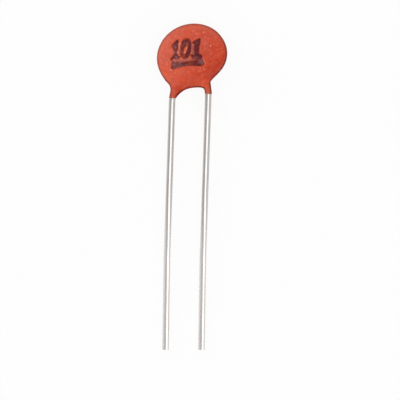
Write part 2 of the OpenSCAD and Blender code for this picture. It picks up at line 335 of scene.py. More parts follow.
@dataclass
class CoatForm:
    """The outline and the two faces of the dipped coating."""

    lead: LeadForm
    long: float = 5.02
    short: float = 4.54
    turn: float = 22.5
    thickness: float = 2.0
    edge_r: float = 0.8
    offset: float = 0.03
    film: float = 0.02
    arch_drop: float = 2.2
    arch_x: float = 0.63
    rim_reach: float = 1.5
    spine_pull: float = 1.2
    neck_steps: int = 12
    shoulder_steps: int = 12
    flank_steps: int = 30
    crown_steps: int = 110
    curve_steps: int = 60
    nudge: float = 0.01
    waves: tuple[Wave, ...] = (Wave(0.012, 1.1, 3.1), Wave(0.005, 0.34, 7.7))
    calm_from: float = -2.6
    calm_rise: float = 1.2

    def __post_init__(self) -> None:
        """Works out the outline and the ribs, which run from it to the middle."""
        self.centre = np.array([self.offset, 0.0])
        self.neck_r = self.lead.wire_r + self.film
        left, right = (self._side_ribs(side) for side in Side)
        (outer_l, inner_l, spine_l), (outer_r, inner_r, spine_r) = left, right
        joins = (NECKS[side].join_angle for side in Side)
        crown = self.oval(np.linspace(*joins, self.crown_steps + 1)[1:-1])
        middle = np.broadcast_to(self.centre, crown.shape)
        self.edge = np.vstack([outer_l, crown, outer_r[::-1], inner_r, inner_l[-2::-1]])
        self.spine = np.vstack([spine_l, middle, spine_r[::-1], spine_r, spine_l[-2::-1]])
        self.turn_at = len(outer_l) + len(crown) + len(outer_r)
        down = np.array([0, -self.rim_reach])
        over, under = self.edge[: self.turn_at], self.edge[self.turn_at :]
        right_end, left_end = [over[-1] + down, under[0] + down], [under[-1] + down, over[0] + down]
        self.rim = np.vstack([over, right_end, under, left_end])
        self.middle_inset = float(self.inset(self.centre[None])[0])

    def _phase(self, angle: Values) -> Values:
        """Phase of the oval's point in a direction from its centre, in radians."""
        off = np.radians(angle - self.turn)
        return np.arctan2(np.sin(off) / self.short, np.cos(off) / self.long)

    def _turned(self, x: Values, y: Values) -> Array:
        """Vectors turned with the oval."""
        c, s = math.cos(math.radians(self.turn)), math.sin(math.radians(self.turn))
        return np.stack([x * c - y * s, x * s + y * c], axis=-1)

    def oval(self, angle: Values) -> Array:
        """Points of the oval in directions from its centre, in degrees."""
        p = self._phase(angle)
        return self.centre + self._turned(self.long * np.cos(p), self.short * np.sin(p)) / 2

    def oval_way(self, angle: float) -> Array:
        """Unit tangent of the oval in a direction from its centre."""
        p = self._phase(angle)
        return unit(self._turned(-self.long * np.sin(p), self.short * np.cos(p)))

    def _neck_side(self, side: Side, y: float, line: Line) -> Array:
        """Point of a neck's side line at a height."""
        off = line.value * side.value * self.neck_r / math.cos(math.radians(self.lead.lean))
        return np.array([self.lead.sideways(side, y) + off, y])

    def _side_ribs(self, side: Side) -> tuple[Array, Array, Array]:
        """Lines of one side of the outline.

        Args:
            side: Which side.

        Returns:
            Its outer edge, inner edge and spine, each from the neck's end upwards.
        """
        neck, end, s = NECKS[side], self.lead.neck_end(side), side.value
        lead_way, way = heading(-s * self.lead.lean), heading(s * neck.flank_angle)
        foot = self._neck_side(side, end[1], Line.OUTER)
        corner = self._neck_side(side, -neck.shoulder_drop, Line.OUTER)
        join = self.oval(neck.join_angle)
        landing = join - s * neck.flank_pull[1] * self.oval_way(neck.join_angle)
        below, above = corner - neck.shoulder_round * lead_way, corner + neck.shoulder_round * way
        flank = [above, above + neck.flank_pull[0] * way, landing, join]
        outer = np.vstack([
            bezier([foot, below], self.neck_steps),
            bezier([below, corner, above], self.shoulder_steps),
            bezier(flank, self.flank_steps, whole=True),
        ])
        at = shares(outer)
        inner_foot = self._neck_side(side, end[1], Line.INNER)
        crown = np.array([self.arch_x, -self.arch_drop])
        leave = inner_foot + neck.web_pull[1] * heading(-s * neck.web_angle)
        arrive = crown + [s * neck.web_pull[0], 0]
        inner = bezier([inner_foot, leave, arrive, crown], self.curve_steps, whole=True)
        rise = end + self.spine_pull * lead_way
        spine = bezier([end, rise, self.centre], self.curve_steps, whole=True)
        return outer, walk(inner, at), walk(spine, at + at**2 - at**3)

    def inset(self, p: Array) -> Array:
        """Distance to the rim, as a harmonic mean over all directions.

        Args:
            p: Points of the flat drawing.

        Returns:
            The distance from each of them.
        """
        to = self.rim[None] - p[:, None]
        far = np.linalg.norm(to, axis=2)
        on, farther = np.roll(to, -1, axis=1), np.roll(far, -1, axis=1)
        cross = to[..., 0] * on[..., 1] - to[..., 1] * on[..., 0]
        parts = cross / (far * farther + (to * on).sum(2)) * (1 / far + 1 / farther)
        return 2 / np.abs(parts.sum(1))

    def filled(self, side: Side, y: Array) -> Array:
        """How far the coating has filled out above the end of a neck."""
        return smooth((y + NECKS[side].end_drop) / NECKS[side].fill)

    def faces(self, p: Array, inset: Array) -> tuple[Array, Array]:
        """Middle height and half thickness of the coating.

        Args:
            p: Points of the flat drawing.
            inset: Their distance to the rim.

        Returns:
            The height of the middle plane and the half thickness at each point.
        """
        x, y = p.T
        across = smooth(x / self.lead.pitch + 0.5)
        left, right = (self.filled(side, y) for side in Side)
        middle = self.lead.height(y) * mix(1 - left, right - 1, across)
        fill = mix(left, right, across)
        roll = mix(self.neck_r, self.edge_r, fill)
        m = self.middle_inset
        swell = (self.thickness**2 / 4 - 2 * self.edge_r * m) / m**2
        return middle, np.sqrt(np.maximum(2 * roll * inset + fill * swell * inset**2, 0))

    def front(self, p: Array) -> tuple[Array, Array]:
        """Points on the marked face.

        Args:
            p: Points of the flat drawing.

        Returns:
            The point of the face over each of them, and the way out of it there.
        """
        spots = np.vstack([p, p + [self.nudge, 0], p + [0, self.nudge]])
        middle, half = self.faces(spots, self.inset(spots))
        z, zx, zy = np.split(middle + half, 3)
        out = np.column_stack([(z - zx) / self.nudge, (z - zy) / self.nudge, np.ones(len(z))])
        return np.column_stack([p, z]), out / np.linalg.norm(out, axis=1)[:, None]

    def relief(self, points: Array) -> Array:
        """Height of the dip's slight unevenness, which dies out on the necks."""
        calm = smooth((points[:, 1] - self.calm_from) / self.calm_rise)
        return calm * sum(wave.at(points) for wave in self.waves)


# --- Meshes ---


def add_object(name: str, data: bpy.types.ID) -> Piece:
    """A new object at the origin, linked to the scene.

    Args:
        name: Its name.
        data: Its mesh, lamp or camera.

    Returns:
        The object.
    """
    thing = bpy.data.objects.new(name, data)
    bpy.context.scene.collection.objects.link(thing)
    return thing


def new_piece(name: str, points: Array, faces: list | tuple = (), edges: list | tuple = ()) -> Piece:
    """A new object with a mesh of its own.

    Args:
        name: Name of both.
        points: The mesh's points, in metres.
        faces: The points of each face, by number.
        edges: The points of each loose edge, by number.

    Returns:
        The object.
    """
    mesh = bpy.data.meshes.new(name)
    mesh.from_pydata(points.tolist(), edges, faces)
    return add_object(name, mesh)


def settle_mesh(piece: Piece, merge: float) -> None:
    """Merges doubled points, points all faces outwards and shades them smooth.

    Args:
        piece: The piece.
        merge: How close doubled points lie, in metres.
    """
    work = bmesh.new()
    work.from_mesh(piece.data)
    bmesh.ops.remove_doubles(work, verts=work.verts, dist=merge)
    bmesh.ops.dissolve_degenerate(work, edges=work.edges, dist=merge)
    bmesh.ops.recalc_face_normals(work, faces=work.faces)
    work.to_mesh(piece.data)
    work.free()
    piece.data.shade_smooth()


def freeze(piece: Piece) -> None:
    """Turns the modifiers of a piece into plain mesh.

    Args:
        piece: The piece.
    """
    bpy.context.view_layer.update()
    graph = bpy.context.evaluated_depsgraph_get()
    mesh = bpy.data.meshes.new_from_object(
        piece.evaluated_get(graph), preserve_all_data_layers=True, depsgraph=graph
    )
    piece.modifiers.clear()
    old, piece.data = piece.data, mesh
    bpy.data.meshes.remove(old)


def read(items: Items, name: str, width: int = 3) -> Array:
    """A property of all points or faces of a mesh.

    Args:
        items: The points or faces.
        name: Name of the property.
        width: How many numbers it has.

    Returns:
        One row for each item.
    """
    found = np.zeros(len(items) * width, np.float32)
    items.foreach_get(name, found)
    return found.reshape(-1, width).astype(float)


def paint(piece: Piece, **tones: Array) -> None:
    """Stores named numbers on the points of a piece's mesh.

    Args:
        piece: The piece.
        tones: The numbers under each name, one for each point.
    """
    for name, values in tones.items():
        tone = piece.data.attributes.new(name, "FLOAT", "POINT")
        tone.data.foreach_set("value", values.astype(np.float32))


def ride_as(piece: Piece, slot: str, *nodes: str) -> None:
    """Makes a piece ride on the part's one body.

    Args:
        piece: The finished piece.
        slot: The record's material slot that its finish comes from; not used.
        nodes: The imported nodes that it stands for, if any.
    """
    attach(piece, "root")
    if nodes:
        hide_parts(*nodes)
    LOG.info("%s: %d points, %d faces", piece.name, len(piece.data.vertices), len(piece.data.polygons))


# --- Geometry trees ---


class GrowthTree:
    """A Geometry Nodes tree that is written as calls."""

    def __init__(self, name: str, **inputs: str) -> None:
        """Starts the tree.

        Args:
            name: Name of the tree.
            inputs: Type of each named input after the geometry, with _ for a space.
        """
        self.tree = bpy.data.node_groups.new(name, "GeometryNodeTree")
        face = self.tree.interface
        for label, kind in {"Geometry": "Geometry", **inputs}.items():
            face.new_socket(label.replace("_", " "), in_out="INPUT", socket_type="NodeSocket" + kind)
        face.new_socket("Geometry", in_out="OUTPUT", socket_type="NodeSocketGeometry")
        self.given = self.tree.nodes.new("NodeGroupInput").outputs

    def add(self, kind: str, settings: dict | None = None, **values: object) -> Items:
        """Adds a node.

        Args:
            kind: Its type, without GeometryNode, or in full where it is of another family.
            settings: Properties that are set before its sockets; keep is the type of a captured value.
            values: A value or a socket for each named input, with _ for a space.

        Returns:
            The outputs of the new node.
        """
        family = "" if kind.startswith(("FunctionNode", "ShaderNode")) else "GeometryNode"
        node = self.tree.nodes.new(family + kind)
        for key, value in (settings or {}).items():
            if key == "keep":
                node.capture_items.new(value, "Kept")
            else:
                setattr(node, key, value)
        for label, value in values.items():
            socket = node.inputs[label.replace("_", " ")]
            if isinstance(value, Socket):
                self.tree.links.new(value, socket)
            else:
                socket.default_value = value
        return node.outputs

    def end(self, geometry: Socket, material: Finish) -> None:
        """Realises all instances, sets the material and closes the tree.

        Args:
            geometry: What the tree has made.
            material: The finish of all of it.
        """
        real = self.add("RealizeInstances", Geometry=geometry)["Geometry"]
        dressed = self.add("SetMaterial", Geometry=real, Material=material)["Geometry"]
        self.tree.links.new(dressed, self.tree.nodes.new("NodeGroupOutput").inputs[0])

    def grow(self, piece: Piece, **values: float) -> None:
        """Runs the tree on a piece and keeps the plain mesh, shaded smooth.

        Args:
            piece: The piece, whose mesh goes into the tree.
            values: A value for each named input, with _ for a space.
        """
        modifier = piece.modifiers.new(self.tree.name, "NODES")
        modifier.node_group = self.tree
        for item in self.tree.interface.items_tree:
            label = item.name.replace(" ", "_")
            if item.in_out == "INPUT" and label in values:
                modifier[item.identifier] = values[label]
        freeze(piece)
        piece.data.shade_smooth()


# --- Shader trees ---


def srgb(red: int, green: int, blue: int) -> Tone:
    """A colour given as it looks on a screen, as the renderer's own linear values."""
    parts = (c / 255 for c in (red, green, blue))
    return (*(c / 12.92 if c <= 0.04045 else ((c + 0.055) / 1.055) ** 2.4 for c in parts), 1.0)


class Ray(Enum):
    """A kind of ray, by the name of the Light Path output that picks it out."""

    CAMERA = "Is Camera Ray"
    GLOSSY = "Is Glossy Ray"
    TRANSMISSION = "Is Transmission Ray"


@dataclass(frozen=True)
class Signal:
    """A shader socket that can be used in plain arithmetic."""

    recipe: "Recipe"
    socket: Socket

    def _math(self, operation: str, first: "Signal | float", second: "Signal | float") -> "Signal":
        """A Math node on two values."""
        return self.recipe.add("Math", {"operation": operation}, {0: first, 1: second})

    def __add__(self, other: "Signal | float") -> "Signal":
        """Sum."""
        return self._math("ADD", self, other)

    __radd__ = __add__

    def __sub__(self, other: "Signal | float") -> "Signal":
        """Difference."""
        return self._math("SUBTRACT", self, other)

    def __rsub__(self, other: float) -> "Signal":
        """Difference from a number."""
        return self._math("SUBTRACT", other, self)

    def __mul__(self, other: "Signal | float") -> "Signal":
        """Product."""
        return self._math("MULTIPLY", self, other)

    __rmul__ = __mul__

    def most(self, other: "Signal | float") -> "Signal":
        """The larger of two."""
        return self._math("MAXIMUM", self, other)


class Recipe:
    """Builds the node tree of one material or world."""

    def __init__(self, owner: Finish | bpy.types.World) -> None:
        """Empties the tree of a new material or world.

        Args:
            owner: The material or world.
        """
        owner.use_nodes = True
        self.owner, self.tree = owner, owner.node_tree
        self.tree.nodes.clear()

    def add(
        self, kind: str, settings: dict | None = None, values: dict | None = None, output: int | str = 0
    ) -> Signal:
        """Adds a node.

        Args:
            kind: Its type, without the ShaderNode prefix.
            settings: Properties that are set before its sockets.
            values: A value or a signal for each input, by name or number.
            output: Which output to return.

        Returns:
            That output as a signal.
        """
        node = self.tree.nodes.new("ShaderNode" + kind)
        for key, value in (settings or {}).items():
            setattr(node, key, value)
        for key, value in (values or {}).items():
            if isinstance(value, Signal):
                self.tree.links.new(value.socket, node.inputs[key])
            else:
                node.inputs[key].default_value = value
        return Signal(self, node.outputs[output])

    def where(self) -> Signal:
        """Place on the piece, in mm."""
        spot = self.add("TexCoord", output="Object")
        return self.add("Mapping", values={"Vector": spot, "Scale": (1 / MM,) * 3})

    def attribute(self, name: str, output: str = "Fac") -> Signal:
        """A named attribute of the mesh."""
        return self.add("Attribute", {"attribute_name": name}, output=output)

    def ray(self, kind: Ray) -> Signal:
        """1 for a kind of ray and 0 for all others."""
        return self.add("LightPath", output=kind.value)

    def noise(self, at: Signal, scale: float, detail: float, roughness: float = 0.5) -> Signal:
        """Cloudy noise from 0 to 1, with scale lumps to a mm."""
        values = {"Vector": at, "Scale": scale, "Detail": detail, "Roughness": roughness}
        return self.add("TexNoise", values=values)

    def between(self, value: Signal, low: float, high: float, to: Pair = (0, 1)) -> Signal:
        """Soft step of a value from low to high."""
        values = {"Value": value, "From Min": low, "From Max": high, "To Min": to[0], "To Max": to[1]}
        return self.add("MapRange", {"interpolation_type": "SMOOTHSTEP"}, values)

    def varied(self, grain: Signal, low: float, high: float) -> Signal:
        """A value that goes from low to high over the span where most of a noise lies."""
        return self.between(grain, *NOISE_SPAN, (low, high))

    def layers(self, ground: Signal | Tone, *coats: tuple) -> Signal:
        """A colour with others laid over it.

        Args:
            ground: The colour below.
            coats: Each a colour and the share of it that covers.

        Returns:
            The mixed colour.
        """
        for tone, share in coats:
            ground = self.add("Mix", {"data_type": "RGBA"}, {0: share, 6: ground, 7: tone}, 2)
        return ground

    def bump(self, *coats: tuple[Signal, float]) -> Signal:
        """A bumped normal.

        Args:
            coats: Each a height from 0 to 1 and what a height of 1 stands for, in mm.

        Returns:
            The normal.
        """
        below = {}
        for height, distance in coats:
            values = {"Height": height, "Distance": distance * MM, "Strength": 1.0, **below}
            below = {"Normal": self.add("Bump", values=values)}
        return below["Normal"]

    def surface(self, **values: object) -> Finish:
        """Ends the recipe in a Principled surface with these inputs, _ standing for a space."""
        named = {key.replace("_", " "): value for key, value in values.items()}
        return self.close(self.add("BsdfPrincipled", values=named))

    def close(self, body: Signal) -> Finish | bpy.types.World:
        """Ends the recipe in a shader.

        Args:
            body: The shader.

        Returns:
            The material or world that the recipe is for.
        """
        kind = "World" if isinstance(self.owner, bpy.types.World) else "Material"
        node = self.tree.nodes.new("ShaderNodeOutput" + kind)
        self.tree.links.new(body.socket, node.inputs["Surface"])
        return self.owner


# --- Finishes ---
#
# A pattern is its lumps to a mm, its detail and its roughness. A step is where a tone starts to
# show and where it shows in full, and a share is the most of it that shows. Gloss is the range
# of a surface's roughness.


@dataclass(frozen=True)
class PhenolicDip:
    """Matt orange-red dipped resin with a fine grain, with painted shade along its rolled edge and in
    the arch's corner, and a painted pale sheen towards the upper left.
    """

    bright: Tone = srgb(212, 73, 37)
    deep: Tone = srgb(180, 46, 17)
    rose: Tone = srgb(216, 92, 70)
    # Painted sheen: the pale veil that the key light leaves towards the upper left.
    bloom: Tone = srgb(226, 134, 112)
    fleck: Tone = srgb(224, 114, 86)
    warm: Tone = srgb(226, 78, 38)
    neck: Tone = srgb(198, 104, 74)
    # The next two tones are painted shade: in the arch's corner and along the rolled edge.
    shade: Tone = srgb(130, 3, 1)
    edge: Tone = srgb(134, 42, 26)
    clouds: Pattern = (0.9, 3)
    patches: Pattern = (2.3, 2)
    flecks: Pattern = (4.2, 1)
    grain: Pattern = (5.5, 3, 0.6)
    fine: Pattern = (22, 2, 0.6)
    deep_step: Pair = (0.36, 0.64)
    rose_step: Pair = (0.42, 0.62)
    rose_share: float = 0.3
    bloom_break: float = 0.45
    fleck_step: Pair = (0.62, 0.76)
    fleck_share: float = 0.7
    warm_share: float = 0.4
    dull_share: float = 0.5
    neck_share: float = 0.9
    gloss: Pair = (0.42, 0.6)
    dark_matt: float = 0.3
    grain_height: float = 0.012
    fine_height: float = 0.004
    ior: float = 1.4
    specular: float = 0.22

    def make(self) -> Finish:
        """Builds the material.

        Returns:
            The material.
        """
        r = Recipe(bpy.data.materials.new("phenolic_dip"))
        spot = r.where()
        patterns = (self.clouds, self.grain, self.fine)
        clouds, grain, fine = (r.noise(spot, *pattern) for pattern in patterns)
        edge, shade = r.attribute("edge"), r.attribute("shade")
        colour = r.layers(
            self.bright,
            (self.deep, r.between(clouds * 0.5 + grain * 0.5, *self.deep_step)),
            (self.rose, r.between(r.noise(spot, *self.patches), *self.rose_step) * self.rose_share),
            # Painted sheen, mottled by the grain.
            (self.bloom, r.attribute("bloom") + (fine + clouds - 1.0) * self.bloom_break),
            (self.fleck, r.between(r.noise(spot, *self.flecks), *self.fleck_step) * self.fleck_share),
            (self.warm, r.attribute("warm") * self.warm_share),
            (self.deep, r.attribute("dull") * self.dull_share),
            (self.neck, r.attribute("neck") * self.neck_share),
            # Painted shade in the arch's corner and along the rolled edge.
            (self.shade, shade),
            (self.edge, edge),
        )
        return r.surface(
            Base_Color=colour,
            Roughness=r.varied(grain, *self.gloss) + (edge + shade) * self.dark_matt,
            Normal=r.bump((grain, self.grain_height), (fine, self.fine_height)),
            IOR=self.ior,
            Specular_IOR_Level=self.specular,
        )


@dataclass(frozen=True)
class ResinBead:
    """Glossy blisters of the same resin, a little paler."""

    warm: Tone = srgb(216, 92, 66)
    pale: Tone = srgb(246, 152, 130)
    grain: Pattern = (6, 2)
    pale_step: Pair = (0.35, 0.6)
    gloss: Pair = (0.3, 0.42)
    grain_height: float = 0.002
    ior: float = 1.45

    def make(self) -> Finish:
        """Builds the material.

        Returns:
            The material.
        """
        r = Recipe(bpy.data.materials.new("resin_bead"))
        grain = r.noise(r.where(), *self.grain)
        return r.surface(
            Base_Color=r.layers(self.warm, (self.pale, r.between(grain, *self.pale_step))),
            Roughness=r.varied(grain, *self.gloss),
            Normal=r.bump((grain, self.grain_height)),
            IOR=self.ior,
        )


@dataclass(frozen=True)
class TinnedWire:
    """Bright tin plating with fine lengthwise drawing lines, paler and flatter towards the tips; the
    paler tone there is painted light on the lower wire.
    """

    bright: Tone = srgb(209, 205, 203)
    dull: Tone = srgb(177, 171, 168)
    pale: Tone = srgb(233, 228, 224)
    streaks: Pattern = (9, 3, 0.6)
    stretch: float = 0.05
    dull_step: Pair = (0.4, 0.7)
    dull_share: float = 0.4
    far_step: Pair = (9.0, 15.0)
    painted_light_share: float = 0.85
    gloss: Pair = (0.2, 0.26)
    far_matt: float = 0.08
    flat_height: float = 0.31
    streak_height: float = 0.0003

    def make(self) -> Finish:
        """Builds the material.

        Returns:
            The material.
        """
        r = Recipe(bpy.data.materials.new("tinned_wire"))
        section, along = r.attribute("section", "Vector"), r.attribute("along")
        spot = r.add("VectorMath", {"operation": "SCALE"}, {0: section, "Scale": 1 / MM})
        drawn = r.add("CombineXYZ", values={"X": 0.0, "Y": 0.0, "Z": along * (self.stretch / MM)})
        streaks = r.noise(r.add("VectorMath", {"operation": "ADD"}, {0: spot, 1: drawn}), *self.streaks)
        far = r.between(along, *(place * MM for place in self.far_step))
        across = r.add("SeparateXYZ", values={0: section}, output="X")
        colour = r.layers(
            self.bright,
            (self.dull, r.between(streaks, *self.dull_step) * self.dull_share),
            # Painted light: paler towards the tips, where more light falls on the lower wire.
            (self.pale, far * self.painted_light_share),
        )
        return r.surface(
            Base_Color=colour,
            Metallic=1.0,
            Roughness=r.varied(streaks, *self.gloss) + far * self.far_matt,
            Normal=r.bump((across * far * (-1 / MM), self.flat_height), (streaks, self.streak_height)),
        )


@dataclass(frozen=True)
class StampInk:
    """Dark worn ink through which the resin shows in places."""

    dark: Tone = srgb(94, 24, 26)
    mauve: Tone = srgb(132, 79, 80)
    worn: Tone = srgb(134, 56, 38)
    bleed: Tone = srgb(160, 62, 46)
    veil: Tone = srgb(166, 86, 74)
    resin: Tone = srgb(208, 84, 56)
    pale: Tone = srgb(214, 128, 106)
    clouds: Pattern = (3.4, 2)
    wear: Pattern = (6.5, 2)
    flecks: Pattern = (8, 3, 0.65)
    pool_share: float = 0.35
    cloud_share: float = 0.4
    pool_step: Pair = (0.66, 1.15)
    rub_share: float = 0.4
    rub_step: Pair = (0.56, 0.9)
    fray: float = 0.7
    gap_cloud: float = 0.8
    veil_share: float = 1.5
    veil_cloud: float = 0.6
    bleed_step: Pair = (0.05, 0.45)
    body_step: Pair = (0.25, 0.95)
    roughness: float = 0.7
    fleck_height: float = 0.006
    ior: float = 1.25

    def make(self) -> Finish:
        """Builds the material.

        Returns:
            The material.
        """
        r = Recipe(bpy.data.materials.new("stamp_ink"))
        spot = r.where()
        patterns = (self.clouds, self.wear, self.flecks)
        clouds, wear, flecks = (r.noise(spot, *pattern) for pattern in patterns)
        pools = r.attribute("pool") * self.pool_share + clouds * self.cloud_share + flecks
        rubs = r.attribute("rub") * self.rub_share + wear
        body, cloud = r.attribute("body") + (flecks - 0.5) * self.fray, clouds - 0.5
        ink = r.layers(
            self.dark,
            (self.mauve, r.between(pools, *self.pool_step)),
            (self.worn, r.between(rubs, *self.rub_step)),
        )
        colour = r.layers(
            self.resin,
            (self.pale, r.attribute("gap") + cloud * self.gap_cloud),
            (self.veil, r.attribute("veil") * self.veil_share + cloud * self.veil_cloud),
            (self.bleed, r.between(body, *self.bleed_step)),
            (ink, r.between(body, *self.body_step)),
        )
        normal = r.bump((flecks, self.fleck_height))
        return r.surface(Base_Color=colour, Roughness=self.roughness, Normal=normal, IOR=self.ior)


@dataclass(frozen=True)
class PlainGrain:
    """A plain material with a light and a dark tone in a fine grain."""

    name: str
    light: Tone
    dark: Tone
    roughness: float
    metallic: float = 0.0
    scale: float = 4.0
    detail: float = 4.0
    rough_grain: float = 0.6
    dark_step: Pair = (0.35, 0.65)
    smoother: float = 0.06
    rougher: float = 0.08
    grain_height: float = 0.006

    def make(self) -> Finish:
        """Builds the material.

        Returns:
            The material.
        """
        r = Recipe(bpy.data.materials.new(self.name))
        grain = r.noise(r.where(), self.scale, self.detail, self.rough_grain)
        return r.surface(
            Base_Color=r.layers(self.light, (self.dark, r.between(grain, *self.dark_step))),
            Roughness=r.varied(grain, self.roughness - self.smoother, self.roughness + self.rougher),
            Metallic=self.metallic,
            Normal=r.bump((grain, self.grain_height)),
        )


# --- Sub-assemblies ---


@dataclass(frozen=True)
class Coating:
    """The dipped coating: one closed skin with a lip round each wire.

    Its finish reads these tones off the skin: edge is painted shade along the rolled edge, darkest
    on the lower right, away from the key light; the pale sheen tone is painted sheen, strongest
    towards the upper left, at listed spots and along the rim's lit side; warm and dull tint it;
    shade is painted shade in the corner of the arch; and neck browns the ends of the necks.
    """

    form: CoatForm
    rest: Rest
    rib_steps: int = 26
    lip_rings: int = 5
    lip_length: float = 0.02
    lip_wave: Wave = Wave(0.7, 0.5, 1.3)
    lip_grip: float = 0.985
    lip_close: float = 0.3
    merge: float = 2e-5
    # Painted shade along the rolled edge: where it sits, its width, the side away from the key light
    # where it is darkest, and the least of it on the lit side.
    rim_shade_place: float = 0.05
    rim_shade_width: float = 0.06
    rim_shade_way: tuple[float, float, float] = (0.4, -0.55, 0.0)
    rim_shade_least: float = 0.55
    # Painted sheen along the rim's lit side.
    lit_rim_sheen: float = 0.2
    lit_rim_sheen_width: float = 0.18
    # Painted shade in the arch's corner.
    shade_gain: float = 1.15
    shade_width: float = 0.14
    shade_spot: Pair = (-0.76, -2.66)
    shade_reach: float = 0.55
    neck_fade: float = 0.8
    left_neck_share: float = 0.4
    # Painted sheen: a share everywhere, a rise towards the upper left, and a painted highlight at each
    # of the pale spots.
    bloom: float = 0.135
    bloom_way: Pair = (-0.06, 0.022)
    painted_highlight_gain: float = 0.12
    pale: Spots = (
        (0.71, 2.06, 0.30), (1.50, 1.50, 0.40), (2.24, 0.84, 0.40),
        (0.66, -2.01, 0.25), (-1.66, -1.62, 0.30), (-1.29, -2.52, 0.17),
    )
    warm: Spots = ((-0.11, -1.15, 0.35), (0.34, -1.90, 0.30), (-0.58, -1.55, 0.40))
    dull: Spots = ((1.00, -0.12, 0.30), (1.72, -0.74, 0.50), (-0.92, -2.40, 0.40))

    def _lip(self, side: Side, loop: Array) -> list[Array]:
        """Rings that bring the end of a neck down onto the wire and close it inside.

        Args:
            side: Which neck.
            loop: Points round the open end of the neck.

        Returns:
            The rings, the last of them inside the wire.
        """
        lead, end = self.form.lead, self.form.lead.neck_end(side)
        out = loop - lead.at(side, end[1:])
        radius = np.linalg.norm(out, axis=1)[:, None]
        out = out / radius
        length = self.lip_length * (1 + self.lip_wave.at(out + end[0]))
        rings = []
        for t in np.linspace(0, math.pi / 2, self.lip_rings + 1)[1:]:
            hub = lead.at(side, end[1] - length * math.sin(t))
            rings.append(hub + out * mix(radius, lead.wire_r * self.lip_grip, 1 - math.cos(t)))
        return [*rings, mix(rings[-1], hub, self.lip_close)]

    def build(self, material: Finish) -> Piece:
        """Makes the coating's skin.

        Args:
            material: Its finish.

        Returns:
            The piece.
        """
        form, steps = self.form, self.rib_steps
        reach = np.cos(np.radians(90 * np.arange(steps + 1) / steps))
        plan = mix(form.spine[:, None], form.edge[:, None], reach[None, :, None])
        inset = form.inset(plan[:, 1:].reshape(-1, 2)).reshape(len(plan), steps)
        inset = np.hstack([np.zeros((len(plan), 1)), inset])
        flat = plan.reshape(-1, 2)
        middle, half = form.faces(flat, inset.ravel())
        points = np.vstack([np.column_stack([flat, z]) for z in (middle + half, middle - half)])
        ribs, turn, row, count = len(plan), form.turn_at, steps + 1, len(flat)
        faces = [
            (at, at + row, at + row + 1, at + 1)
            for i in range(ribs - 1)
            if i != turn - 1
            for k in range(steps)
            for at in (i * row + k, count + i * row + k)
        ]
        for side, a, b in ((Side.RIGHT, turn - 1, turn), (Side.LEFT, ribs - 1, 0)):
            loop = [
                *(b * row + k for k in range(row)),
                *(a * row + k for k in range(steps - 1, -1, -1)),
                *(count + a * row + k for k in range(1, row)),
                *(count + b * row + k for k in range(steps - 1, 0, -1)),
            ]
            for ring in self._lip(side, points[loop]):
                on = list(range(len(points), len(points) + len(ring)))
                points = np.vstack([points, ring])
                faces += zip(loop, loop[1:] + loop[:1], on[1:] + on[:1], on)
                loop = on
            faces.append(tuple(loop))
        piece = new_piece("coating_skin", points * MM, faces)
        settle_mesh(piece, self.merge * MM)
        self._finish(piece)
        piece.data.materials.append(material)
        return piece

    def _finish(self, piece: Piece) -> None:
        """Adds the dip's tones, painted shade and painted sheen among them, and its unevenness, and
        brings the skin to its place.

        Args:
            piece: The skin, in the flat drawing.
        """
        skin = piece.data.vertices
        place, out = read(skin, "co") / MM, read(skin, "normal")
        flat = place[:, :2]
        # Painted shade along the rolled edge, darkest away from the key light, and painted sheen along
        # the rim's lit side.
        inset, away = self.form.inset(flat), smooth(0.5 + out @ self.rim_shade_way)
        edge = np.exp(-((np.maximum(inset - self.rim_shade_place, 0) / self.rim_shade_width) ** 2))
        lit_rim_sheen = self.lit_rim_sheen * np.exp(-((inset / self.lit_rim_sheen_width) ** 2)) * (1 - away)
        shade = self._shade_tone(flat, inset)
        paint(
            piece,
            shade=shade,
            edge=edge * mix(self.rim_shade_least, 1, away) * (1 - shade),
            bloom=self.bloom + flat @ self.bloom_way + self.painted_highlight_gain * near(flat, self.pale) + lit_rim_sheen,
            warm=near(flat, self.warm),
            dull=near(flat, self.dull),
            neck=self._neck_tone(flat),
        )
        place += out * self.form.relief(place)[:, None]
        skin.foreach_set("co", self.rest.place(place).astype(np.float32).ravel())
        piece.data.update()

    def _shade_tone(self, flat: Array, inset: Array) -> Array:
        """How much the arch's deep corner is shaded, in a narrow crescent."""
        off = np.linalg.norm(flat - np.array(self.shade_spot), axis=1) / self.shade_reach
        return np.minimum(1, self.shade_gain * np.exp(-((inset / self.shade_width) ** 4) - off**2))

    def _neck_tone(self, flat: Array) -> Array:
        """How thin and brown the resin is towards the ends of the necks.

        Args:
            flat: Points of the flat drawing.

        Returns:
            A tone from 0 to 1 at each of them.
        """
        x, y = flat.T
        ends = np.where(x < 0, NECKS[Side.LEFT].end_drop, NECKS[Side.RIGHT].end_drop)
        return (1 - smooth((y + ends) / self.neck_fade)) * np.where(x < 0, self.left_neck_share, 1)


